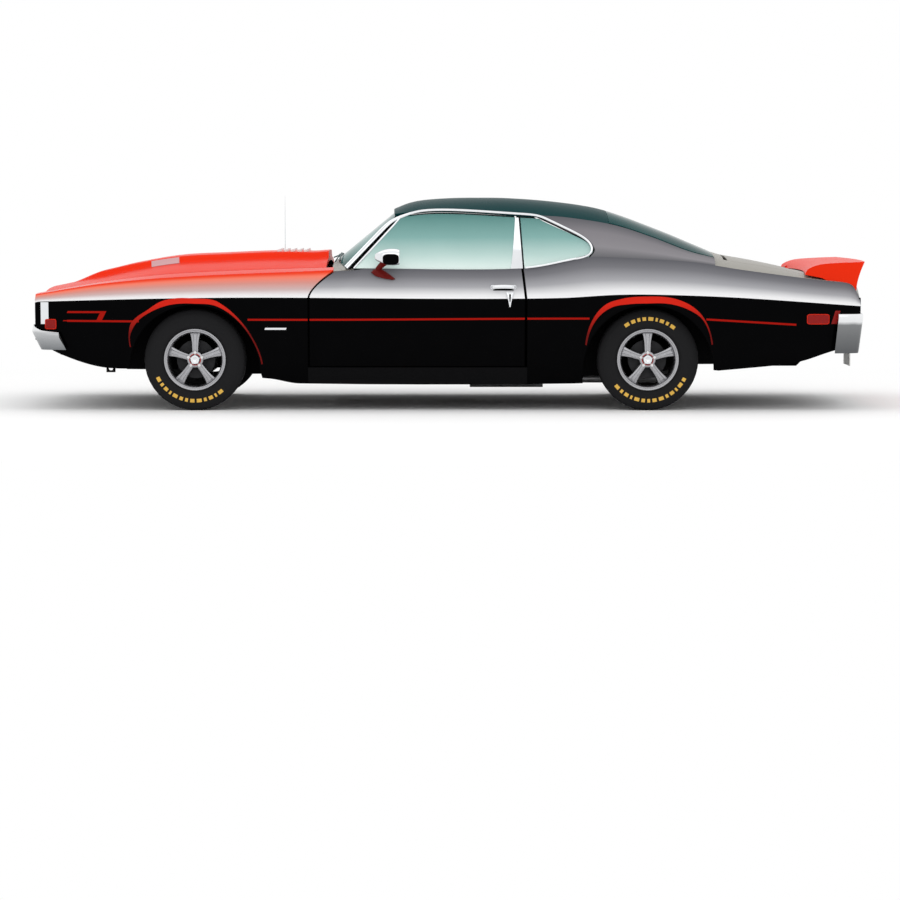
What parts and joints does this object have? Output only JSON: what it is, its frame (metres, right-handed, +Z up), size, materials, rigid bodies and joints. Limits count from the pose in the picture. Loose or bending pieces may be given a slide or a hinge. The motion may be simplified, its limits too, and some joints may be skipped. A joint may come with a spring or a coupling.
{
  "type": "muscle car",
  "caption": "Two-door hardtop muscle car with a red hood and ducktail, black sides, opening doors, hood and deck lid, steered front wheels and rolling wheels.",
  "frame": {"origin": "middle of the length and width, on the floor under the tyres", "axes": "-X to the front of the car, -Y to its left side, +Z up"},
  "size_m": [5.18, 1.9198, 1.3],
  "materials": {
    "black_paint": "gloss",
    "red_paint": "gloss",
    "under_paint": "matt",
    "bright": "polished",
    "clear_glass": "clear",
    "lamp_glass": "clear",
    "red_lens": "gloss",
    "trim": "satin",
    "dash_plastic": "matt",
    "grille_plastic": "satin",
    "casting": "rough",
    "tin": "satin",
    "alloy": "polished",
    "rubber": "matt"
  },
  "bodies": {
    "shell": {"floor_pan": "under_paint", "cowl": "black_paint", "aprons": "under_paint", "fenders": "red_paint", "quarter_panels": "black_paint", "roof": "black_paint", "grille": "grille_plastic", "front_bumper": "bright", "front_valance": "black_paint", "tail_panel": "black_paint", "rear_bumper": "bright", "fixed_glass": "clear_glass", "head_lamps": "lamp_glass", "tail_lamps": "red_lens", "side_markers": "red_lens", "front_seats": "trim", "rear_seat": "trim", "dashboard": "dash_plastic", "steering_column": "dash_plastic", "engine": "casting", "radiator": "tin", "driveline": "casting", "front_arms": "under_paint", "rear_axle": "casting", "leaf_springs": "under_paint", "fuel_tank": "tin", "exhaust": "tin"},
    "door_left": {"door_left": "black_paint", "door_glass_left": "clear_glass", "door_trim_left": "bright"},
    "door_right": {"door_right": "black_paint", "door_glass_right": "clear_glass", "door_trim_right": "bright"},
    "hood": {"hood": "red_paint"},
    "deck_lid": {"deck_lid": "black_paint", "spoiler": "red_paint"},
    "steering_wheel": {"steering_wheel": "dash_plastic"},
    "knuckle_left": {"knuckle_left": "casting"},
    "knuckle_right": {"knuckle_right": "casting"},
    "wheel_front_left": {"wheel_front_left": "alloy", "tyre_front_left": "rubber"},
    "wheel_front_right": {"wheel_front_right": "alloy", "tyre_front_right": "rubber"},
    "wheel_rear_left": {"wheel_rear_left": "alloy", "tyre_rear_left": "rubber"},
    "wheel_rear_right": {"wheel_rear_right": "alloy", "tyre_rear_right": "rubber"}
  },
  "joints": [
    {"name": "door_left_swing", "type": "hinge", "parent": "shell", "child": "door_left", "pos_m": [-0.79848, -0.90627, 0.585], "axis": [0, 0, -1], "range_deg": [0, 70]},
    {"name": "door_right_swing", "type": "hinge", "parent": "shell", "child": "door_right", "pos_m": [-0.79848, 0.90627, 0.585], "axis": [0, 0, 1], "range_deg": [0, 70]},
    {"name": "hood_lift", "type": "hinge", "parent": "shell", "child": "hood", "pos_m": [-0.82883, 0, 0.89789], "axis": [0, 1, 0], "range_deg": [0, 55]},
    {"name": "deck_lift", "type": "hinge", "parent": "shell", "child": "deck_lid", "pos_m": [1.77695, 0, 0.89401], "axis": [0, -1, 0], "range_deg": [0, 60]},
    {"name": "steer_left", "type": "hinge", "parent": "shell", "child": "knuckle_left", "pos_m": [-1.561, -0.70024, 0.311], "axis": [0, 0, 1], "range_deg": [-32, 32]},
    {"name": "steer_right", "type": "hinge", "parent": "shell", "child": "knuckle_right", "pos_m": [-1.561, 0.70024, 0.311], "axis": [0, 0, 1], "range_deg": [-32, 32]},
    {"name": "steering_wheel_turn", "type": "hinge", "parent": "shell", "child": "steering_wheel", "pos_m": [-0.44888, -0.39932, 0.73094], "axis": [0.9272, 0, 0.3746], "range_deg": [-512, 512]},
    {"name": "spin_front_left", "type": "hinge", "parent": "knuckle_left", "child": "wheel_front_left", "pos_m": [-1.561, -0.77, 0.311], "axis": [0, 1, 0], "continuous": true},
    {"name": "spin_front_right", "type": "hinge", "parent": "knuckle_right", "child": "wheel_front_right", "pos_m": [-1.561, 0.77, 0.311], "axis": [0, 1, 0], "continuous": true},
    {"name": "spin_rear_left", "type": "hinge", "parent": "shell", "child": "wheel_rear_left", "pos_m": [1.216, -0.77, 0.311], "axis": [0, 1, 0], "continuous": true},
    {"name": "spin_rear_right", "type": "hinge", "parent": "shell", "child": "wheel_rear_right", "pos_m": [1.216, 0.77, 0.311], "axis": [0, 1, 0], "continuous": true}
  ],
  "couplings": [
    {"joint": "steer_right", "follows": "steer_left", "ratio": 1},
    {"joint": "steering_wheel_turn", "follows": "steer_left", "ratio": 16}
  ]
}
